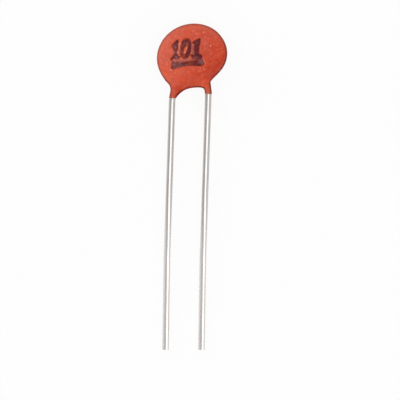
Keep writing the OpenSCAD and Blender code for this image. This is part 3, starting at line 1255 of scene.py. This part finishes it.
@dataclass(frozen=True)
class Leads:
    """The two lengths of tinned wire."""

    form: LeadForm
    rest: Rest
    sides: int = 40
    sharp_angle: float = 50.0

    def _tree(self, material: Finish) -> GrowthTree:
        """A tree that draws round wire along a path, and keeps the place round it and along it.

        Args:
            material: The wire's finish.

        Returns:
            The tree, with inputs Wire Radius and Wire Sides.
        """
        tree = GrowthTree("drawn_wire", Wire_Radius="Float", Wire_Sides="Int")
        path = tree.add("MeshToCurve", Mesh=tree.given["Geometry"])["Curve"]
        level = tree.add("SetCurveNormal", {"mode": "Z_UP"}, Curve=path)["Curve"]
        length = tree.add("SplineParameter")["Length"]
        along = tree.add("CaptureAttribute", {"keep": "FLOAT"}, Geometry=level, Kept=length)
        sizes = {"Radius": tree.given["Wire Radius"], "Resolution": tree.given["Wire Sides"]}
        ring = tree.add("CurvePrimitiveCircle", **sizes)["Curve"]
        spot = tree.add("InputPosition")["Position"]
        section = tree.add("CaptureAttribute", {"keep": "VECTOR"}, Geometry=ring, Kept=spot)
        curves = {"Curve": along["Geometry"], "Profile_Curve": section["Geometry"]}
        wire = tree.add("CurveToMesh", **curves, Fill_Caps=True)["Mesh"]
        for name, kind, kept in (("along", "FLOAT", along), ("section", "FLOAT_VECTOR", section)):
            values = {"Geometry": wire, "Name": name, "Value": kept["Kept"]}
            wire = tree.add("StoreNamedAttribute", {"data_type": kind}, **values)["Geometry"]
        tree.end(wire, material)
        return tree

    def build(self, material: Finish) -> list[Piece]:
        """Draws both leads.

        Args:
            material: Their finish.

        Returns:
            The left piece and the right piece.
        """
        tree, pieces = self._tree(material), []
        for side in Side:
            path = self.rest.place(self.form.path(side))
            steps = [(k, k + 1) for k in range(len(path) - 1)]
            piece = new_piece(f"wire_{side.name.lower()}", path, edges=steps)
            tree.grow(piece, Wire_Radius=self.form.wire_r * MM, Wire_Sides=self.sides)
            piece.data.set_sharp_from_angle(angle=math.radians(self.sharp_angle))
            pieces.append(piece)
        return pieces


@dataclass(frozen=True)
class Stroke:
    """One straight stroke of the stamp, with its own half width at each end."""

    start: Pair
    stop: Pair
    start_r: float
    stop_r: float

    def depth(self, p: Array) -> Array:
        """Distance of points outside the stroke.

        Args:
            p: Points of the flat drawing.

        Returns:
            The distance, negative inside.
        """
        a, b = np.array(self.start), np.array(self.stop)
        t = np.clip((p - a) @ (b - a) / ((b - a) @ (b - a)), 0, 1)
        return np.linalg.norm(p - a - t[:, None] * (b - a), axis=1) - mix(self.start_r, self.stop_r, t)


@dataclass(frozen=True)
class Ring:
    """A slanted oval stroke, open in its middle."""

    centre: Pair
    outer: Pair
    slant: float
    inner_centre: Pair
    inner: Pair
    inner_slant: float
    square: float = 2.5

    def _oval(self, p: Array, centre: Pair, half: Pair, slant: float) -> Array:
        """Rough distance of points outside one oval with full shoulders.

        Args:
            p: Points of the flat drawing.
            centre: Middle of the oval.
            half: Its half width and half height.
            slant: How far it leans to the right over a mm of height.

        Returns:
            The distance, negative inside.
        """
        q = p - np.array(centre)
        q = np.column_stack([q[:, 0] - q[:, 1] * slant, q[:, 1]]) / np.array(half)
        return ((np.abs(q) ** self.square).sum(1) ** (1 / self.square) - 1) * half[0]

    def depth(self, p: Array) -> Array:
        """Distance of points outside the stroke, negative inside."""
        outside = self._oval(p, self.centre, self.outer, self.slant)
        return np.maximum(outside, -self._oval(p, self.inner_centre, self.inner, self.inner_slant))


def strokes(*rows: tuple) -> tuple[Stroke, ...]:
    """Strokes from rows of a start, a stop and the half width at each."""
    return tuple(Stroke(*row) for row in rows)


@dataclass(frozen=True)
class Stamp:
    """The stamped value: plain figures over a short bar, as a thin film of ink.

    Its finish reads these tones off the film: body is how full the ink is and veil how hazy it
    is beside that; pool, rub and gap are where it gathered, where it wore and where it missed.
    """

    form: CoatForm
    rest: Rest
    cell: float = 0.015
    snap: float = 0.6
    snap_most: float = 0.45
    least_steep: float = 0.25
    tatters: tuple[Wave, ...] = (Wave(0.04, 0.09, 5.2), Wave(0.024, 0.04, 9.4))
    spread: float = 0.13
    bleed: float = 0.21
    film: float = 0.006
    sink: float = 0.004
    low: Pair = (-1.7, -1.15)
    high: Pair = (1.1, 1.5)
    marks: tuple[Stroke | Ring, ...] = (
        Ring(
            centre=(-0.42, 0.52), outer=(0.355, 0.65), slant=0.07,
            inner_centre=(-0.435, 0.43), inner=(0.13, 0.43), inner_slant=0.28,
        ),
        *strokes(
            ((-1.34, 0.69), (-1.04, 1.02), 0.05, 0.08), ((-1.06, 1.02), (-1.10, 0.60), 0.08, 0.10),
            ((-1.25, 0.72), (-1.13, 0.45), 0.12, 0.13), ((-1.12, 0.50), (-1.15, 0.14), 0.12, 0.05),
            ((-1.13, 0.16), (-1.12, -0.05), 0.05, 0.19), ((-1.28, -0.13), (-0.94, -0.10), 0.08, 0.09),
            ((-1.38, -0.20), (-1.39, -0.32), 0.06, 0.04), ((0.13, 0.96), (0.42, 1.08), 0.07, 0.13),
            ((0.06, 0.60), (0.10, 0.46), -0.04, -0.05), ((0.51, 1.19), (0.42, 0.90), 0.07, 0.15),
            ((0.35, 0.95), (0.34, 0.20), 0.17, 0.15), ((0.35, 0.20), (0.38, -0.02), 0.15, 0.23),
            ((0.01, 0.05), (0.30, 0.00), 0.06, 0.11), ((0.15, -0.08), (0.62, 0.02), 0.09, 0.12),
            ((0.50, -0.10), (0.62, -0.40), 0.21, 0.21), ((0.69, -0.47), (0.10, -0.48), 0.18, 0.16),
            ((0.10, -0.48), (-0.55, -0.58), 0.16, 0.12), ((-0.55, -0.58), (-1.12, -0.67), 0.12, 0.19),
            ((-1.28, -0.54), (-1.26, -0.86), 0.08, 0.10),
        ),
    )
    veils: tuple[Stroke, ...] = strokes(
        ((0.09, 0.74), (0.10, 0.05), 0.06, 0.08), ((0.10, 0.05), (0.00, -0.20), 0.06, 0.04),
        ((0.00, -0.20), (-0.30, -0.18), 0.03, 0.00), ((-1.23, -0.40), (-0.45, -0.36), 0.02, 0.06),
        ((-0.45, -0.36), (0.10, -0.28), 0.05, 0.05), ((-0.84, 0.88), (-0.89, 0.14), -0.07, 0.00),
    )
    pools: Spots = (
        (-1.22, 0.66, 0.17), (-1.08, -0.12, 0.18), (-1.12, -0.66, 0.34), (-0.78, -0.62, 0.24),
        (-0.37, 0.88, 0.12), (0.28, -0.10, 0.13), (0.64, -0.32, 0.18), (0.83, -0.45, 0.12),
        (-1.18, 0.26, 0.16), (-0.38, -0.64, 0.12),
    )
    gaps: Spots = (
        (-0.88, 0.76, 0.22), (-0.93, 0.24, 0.20), (-0.40, 0.62, 0.16), (-0.50, 0.22, 0.16),
        (0.02, 0.78, 0.14), (0.00, 0.22, 0.20), (-1.16, -0.34, 0.22), (-0.60, -0.40, 0.22),
        (-0.15, -0.34, 0.22), (0.90, -0.28, 0.14),
    )
    rubs: Spots = (
        (-1.40, 0.70, 0.12), (-0.74, 0.30, 0.22), (-0.64, 0.72, 0.14), (-0.57, 0.44, 0.12),
        (-0.62, 0.00, 0.16), (-0.05, -0.60, 0.28), (0.24, -0.16, 0.14), (0.80, -0.58, 0.12),
    )

    def _depth(self, p: Array, marks: tuple[Stroke | Ring, ...]) -> Array:
        """Distance of points outside some ragged marks, negative inside."""
        clean = np.min([mark.depth(p) for mark in marks], axis=0)
        return clean - self.spread + sum(wave.at(p) for wave in self.tatters)

    def _grid(self) -> tuple[Array, Array]:
        """A fine grid over the marks, pulled onto their edge where it crosses it.

        Returns:
            The points of the flat drawing that are used, and the four points of each face, by number.
        """
        xs, ys = (np.arange(low, high, self.cell) for low, high in zip(self.low, self.high))
        p = np.stack(np.meshgrid(xs, ys), axis=-1).reshape(-1, 2)
        every, nudge = self.marks + self.veils, self.cell / 4
        depth = self._depth(p, every)
        beside = [self._depth(p + step, every) - depth for step in ([nudge, 0], [0, nudge])]
        slope = np.column_stack(beside) / nudge
        steep = np.maximum((slope**2).sum(1), self.least_steep)[:, None]
        at_edge = np.abs(depth) < self.snap * self.cell * np.sqrt(steep[:, 0])
        shift = -depth[:, None] * slope / steep
        reach = np.maximum(np.linalg.norm(shift, axis=1)[:, None], TINY)
        pulled = p + shift * np.minimum(1, self.snap_most * self.cell / reach)
        inside = (depth < 0) | at_edge
        corner = np.arange(len(p)).reshape(len(ys), len(xs))
        round_cell = [corner[:-1, :-1], corner[:-1, 1:], corner[1:, 1:], corner[1:, :-1]]
        quads = np.stack(round_cell, axis=-1).reshape(-1, 4)
        quads = quads[inside[quads].all(1) & (depth[quads] < 0).any(1)]
        used, faces = np.unique(quads, return_inverse=True)
        return np.where(at_edge[:, None], pulled, p)[used], faces.reshape(-1, 4)

    def build(self, material: Finish) -> Piece:
        """Makes the film of ink.

        Args:
            material: Its finish.

        Returns:
            The piece.
        """
        flat, faces = self._grid()
        points, out = self.form.front(flat)
        points += out * (self.form.relief(points)[:, None] + self.film)
        piece = new_piece("stamped_value", self.rest.place(points), faces.tolist())
        paint(
            piece,
            body=smooth(-self._depth(flat, self.marks) / self.bleed),
            veil=smooth(-self._depth(flat, self.veils) / self.bleed),
            pool=near(flat, self.pools),
            rub=near(flat, self.rubs),
            gap=near(flat, self.gaps),
        )
        film = piece.modifiers.new("film", "SOLIDIFY")
        film.thickness, film.offset = (self.film + self.sink) * MM, -1
        freeze(piece)
        piece.data.materials.append(material)
        return piece


@dataclass(frozen=True)
class Beads:
    """Fine blisters scattered in the resin, and a few larger ones."""

    form: CoatForm
    rest: Rest
    seed: int = 11
    count: int = 150
    radii: Pair = (0.010, 0.022)
    lowest: float = -2.2
    detail: int = 2
    flatness: float = 0.5
    large: Spots = (
        (-1.39, -1.01, 0.07), (1.32, 0.77, 0.045), (-0.17, -1.11, 0.045),
        (0.64, -0.84, 0.04), (0.40, -1.95, 0.04), (0.78, 1.72, 0.035),
    )

    def _spots(self, skin: Piece) -> tuple[Array, Array, Array]:
        """Where the beads sit.

        Args:
            skin: The finished skin of the coating.

        Returns:
            Their places and the ways out of the skin there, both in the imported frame, and their radii.
        """
        rng, faces = np.random.default_rng(self.seed), skin.data.polygons
        hubs, outs, areas = read(faces, "center"), read(faces, "normal"), read(faces, "area", 1)[:, 0]
        areas[self.rest.unplace(hubs)[:, 1] < self.lowest] = 0
        chosen = rng.choice(len(faces), self.count, replace=False, p=areas / areas.sum())
        large = np.array(self.large)
        front, way = self.form.front(large[:, :2])
        front = self.rest.place(front + way * self.form.relief(front)[:, None])
        radii = np.concatenate([rng.uniform(*self.radii, self.count), large[:, 2]])
        ways = np.vstack([outs[chosen], way @ self.rest.turn.T])
        return np.vstack([hubs[chosen], front]), ways, radii

    def _tree(self, material: Finish) -> GrowthTree:
        """A tree that sets a flat bead on each point, to its size and facing its way.

        Args:
            material: The beads' finish.

        Returns:
            The tree, with inputs Bead Detail and Bead Flatness.
        """
        tree = GrowthTree("bead_scatter", Bead_Detail="Int", Bead_Flatness="Float")
        bead = tree.add("MeshIcoSphere", Radius=1.0, Subdivisions=tree.given["Bead Detail"])["Mesh"]
        way = tree.add("InputNamedAttribute", {"data_type": "FLOAT_VECTOR"}, Name="out")["Attribute"]
        size = tree.add("InputNamedAttribute", {"data_type": "FLOAT"}, Name="size")["Attribute"]
        turn = tree.add("FunctionNodeAlignRotationToVector", {"axis": "Z"}, Vector=way)["Rotation"]
        shape = tree.add("ShaderNodeCombineXYZ", X=1.0, Y=1.0, Z=tree.given["Bead Flatness"])["Vector"]
        sized = {"Vector": shape, "Scale": size}
        scale = tree.add("ShaderNodeVectorMath", {"operation": "SCALE"}, **sized)["Vector"]
        values = {"Points": tree.given["Geometry"], "Instance": bead, "Rotation": turn, "Scale": scale}
        tree.end(tree.add("InstanceOnPoints", **values)["Instances"], material)
        return tree

    def build(self, skin: Piece, material: Finish) -> Piece:
        """Scatters the beads over the skin.

        Args:
            skin: The finished skin of the coating.
            material: The beads' finish.

        Returns:
            The piece, with all beads in it.
        """
        places, ways, radii = self._spots(skin)
        piece = new_piece("resin_beads", places)
        out = piece.data.attributes.new("out", "FLOAT_VECTOR", "POINT")
        out.data.foreach_set("vector", ways.astype(np.float32).ravel())
        paint(piece, size=radii * MM)
        self._tree(material).grow(piece, Bead_Detail=self.detail, Bead_Flatness=self.flatness)
        return piece


@dataclass(frozen=True)
class Core:
    """The sealed pieces: the ceramic disc, its two electrodes and the two solder beads."""

    silver: PlainGrain = PlainGrain(
        "fired_silver", srgb(226, 224, 218), srgb(196, 193, 186), roughness=0.42, metallic=1.0, scale=9.0
    )
    solder: PlainGrain = PlainGrain(
        "soft_solder", srgb(196, 198, 202), srgb(158, 160, 165), roughness=0.32, metallic=1.0, scale=3.0
    )
    ceramic: PlainGrain = PlainGrain(
        "titanate_ceramic", srgb(214, 203, 178), srgb(196, 184, 158), roughness=0.7
    )

    def dress(self) -> None:
        """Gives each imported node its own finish."""
        for finish, names in (
            (self.silver, ("electrode_front", "electrode_back")),
            (self.solder, ("solder_front", "solder_back")),
            (self.ceramic, ("ceramic_disc",)),
        ):
            material = finish.make()
            for name in names:
                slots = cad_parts[name].data.materials
                slots.clear()
                slots.append(material)
                LOG.info("%s: dressed in %s", name, material.name)


# --- Stage ---


@dataclass(frozen=True)
class Panel:
    """A soft light that looks at the part."""

    name: str
    place: tuple[float, float, float]
    size: Pair
    power: float

    def hang(self, target: Vector) -> None:
        """Hangs the light and turns it to its target.

        Args:
            target: What it looks at.
        """
        lamp = bpy.data.lights.new(self.name, "AREA")
        lamp.shape, lamp.energy = "RECTANGLE", self.power
        lamp.size, lamp.size_y = self.size
        light = add_object(self.name, lamp)
        light.location = self.place
        light.rotation_euler = (target - Vector(self.place)).to_track_quat("-Z", "Y").to_euler()


@dataclass(frozen=True)
class Studio:
    """Floor, soft light and camera."""

    floor_half: float = 0.6
    floor_tone: Tone = srgb(240, 238, 238)
    floor_glow: float = 0.9
    floor_dim: float = 0.5
    white: Tone = (1.0, 1.0, 1.0, 1.0)
    fill: float = 0.66
    wall_span: Pair = (-0.5, 1.0)
    walls: Pair = (0.54, 0.77)
    view_width: float = 0.02822
    view_height: float = 0.35
    view_centre: tuple[float, float, float] = (0.0009, -0.00088, 0.001)
    view_turn: float = 1.89
    sensor: float = 36.0
    clip: Pair = (0.01, 2.0)
    panels: tuple[Panel, ...] = (
        Panel("key_light", place=(-0.27, 0.16, 0.16), size=(0.12, 0.12), power=0.29),
        Panel("strip_light", place=(0.058, -0.07, 0.33), size=(0.31, 0.33), power=0.42),
    )

    def seen(self, r: Recipe) -> Signal:
        """1 for what the camera and mirrors see, 0 for the light that falls on the part."""
        return r.ray(Ray.CAMERA).most(r.ray(Ray.GLOSSY).most(r.ray(Ray.TRANSMISSION)))

    def lay_floor(self) -> None:
        """Lays the pale floor."""
        corners = np.array([[-1, -1, 0], [1, -1, 0], [1, 1, 0], [-1, 1, 0]]) * self.floor_half
        floor = new_piece("studio_floor", corners, [(0, 1, 2, 3)])
        r = Recipe(bpy.data.materials.new("pale_floor"))
        paper = r.add("BsdfDiffuse", values={"Color": self.floor_tone})
        glow = r.add("Emission", values={"Color": self.white, "Strength": 1.0})
        share = self.seen(r) * self.floor_glow - r.ray(Ray.GLOSSY) * self.floor_dim
        floor.data.materials.append(r.close(r.add("MixShader", values={0: share, 1: paper, 2: glow})))

    def light_world(self) -> None:
        """Makes the surroundings white to look at, dimmer as light, and grey to the left in mirrors."""
        r = Recipe(bpy.data.worlds.new("studio"))
        way = r.add("TexCoord", output="Generated")
        sideways = r.add("SeparateXYZ", values={0: way}, output="X")
        mirrored = r.between(sideways, *self.wall_span, self.walls) - 1.0
        strength = self.seen(r) * (1 - self.fill) + self.fill + r.ray(Ray.GLOSSY) * mirrored
        back = r.add("Background", values={"Color": self.white, "Strength": strength})
        bpy.context.scene.world = r.close(back)

    def set_camera(self) -> None:
        """Looks straight down on the part."""
        data = bpy.data.cameras.new("camera")
        data.sensor_width = self.sensor
        data.lens = self.sensor * self.view_height / self.view_width
        data.clip_start, data.clip_end = self.clip
        camera = add_object("camera", data)
        camera.location = Vector(self.view_centre) + Vector((0, 0, self.view_height))
        camera.rotation_euler = (0, 0, math.radians(self.view_turn))
        bpy.context.scene.camera = camera

    def build(self) -> None:
        """Sets up everything round the part."""
        bpy.context.scene.view_settings.view_transform = "Standard"
        self.lay_floor()
        self.light_world()
        self.set_camera()
        for panel in self.panels:
            panel.hang(Vector((0, 0, 0)))


def main() -> None:
    """Builds and dresses every piece of the capacitor."""
    logging.basicConfig(level=logging.INFO)
    lead = LeadForm()
    coat = CoatForm(lead)
    rest = Rest(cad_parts["ceramic_disc"], coat.offset)
    skin = Coating(coat, rest).build(PhenolicDip().make())
    ride_as(skin, "phenolic_coating", "coating")
    left, right = Leads(lead, rest).build(TinnedWire().make())
    ride_as(left, "tinned_wire", "lead_left")
    ride_as(right, "tinned_wire", "lead_right")
    ride_as(Beads(coat, rest).build(skin, ResinBead().make()), "phenolic_coating")
    ride_as(Stamp(coat, rest).build(StampInk().make()), "marking_ink")
    Core().dress()
    Studio().build()


if __name__ == "__main__":
    main()
